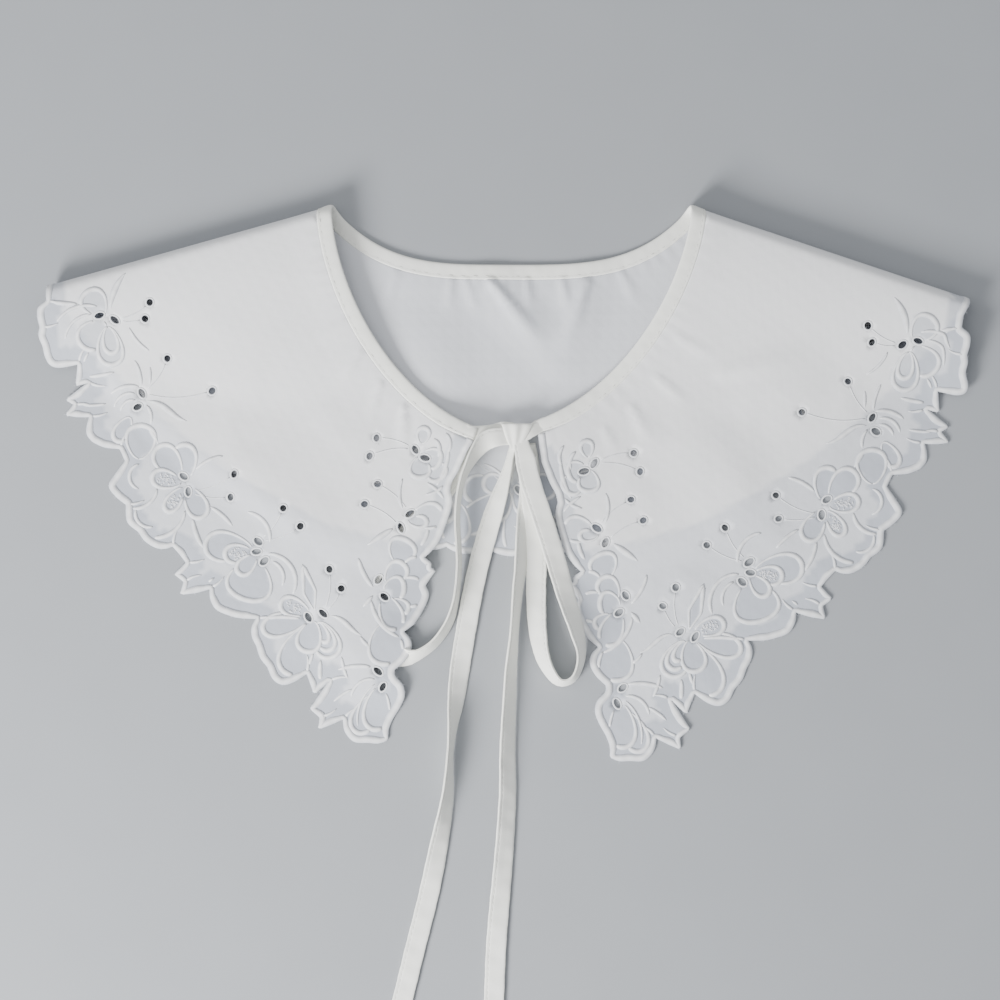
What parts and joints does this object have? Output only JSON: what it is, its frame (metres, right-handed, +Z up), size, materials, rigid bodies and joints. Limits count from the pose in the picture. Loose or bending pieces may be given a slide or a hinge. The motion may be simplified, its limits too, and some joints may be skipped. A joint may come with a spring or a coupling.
{
  "type": "embroidered collar",
  "caption": "Detachable white cloth collar with scalloped floral eyelet embroidery, bound neck and ribbon bow, folded at the shoulders and laid flat.",
  "frame": {"origin": "under the middle of the collar without its ties, on the table", "axes": "+X to the right across both shoulders, +Y towards the back of the neck, +Z up off the table"},
  "size_m": [0.3692, 0.3527, 0.0118],
  "materials": {
    "cloth": "plain-woven white cloth with satin-stitch embroidery",
    "binding": "bias binding, warm white, edge-stitched",
    "ties": "folded bias tape, warm white, edge-stitched"
  },
  "bodies": {
    "root": {"collar_body": "cloth", "neck_binding": "binding", "bow_knot": "ties", "tie_loop_left": "ties", "tie_loop_right": "ties", "tie_tail_left": "ties", "tie_tail_right": "ties"}
  },
  "joints": []
}
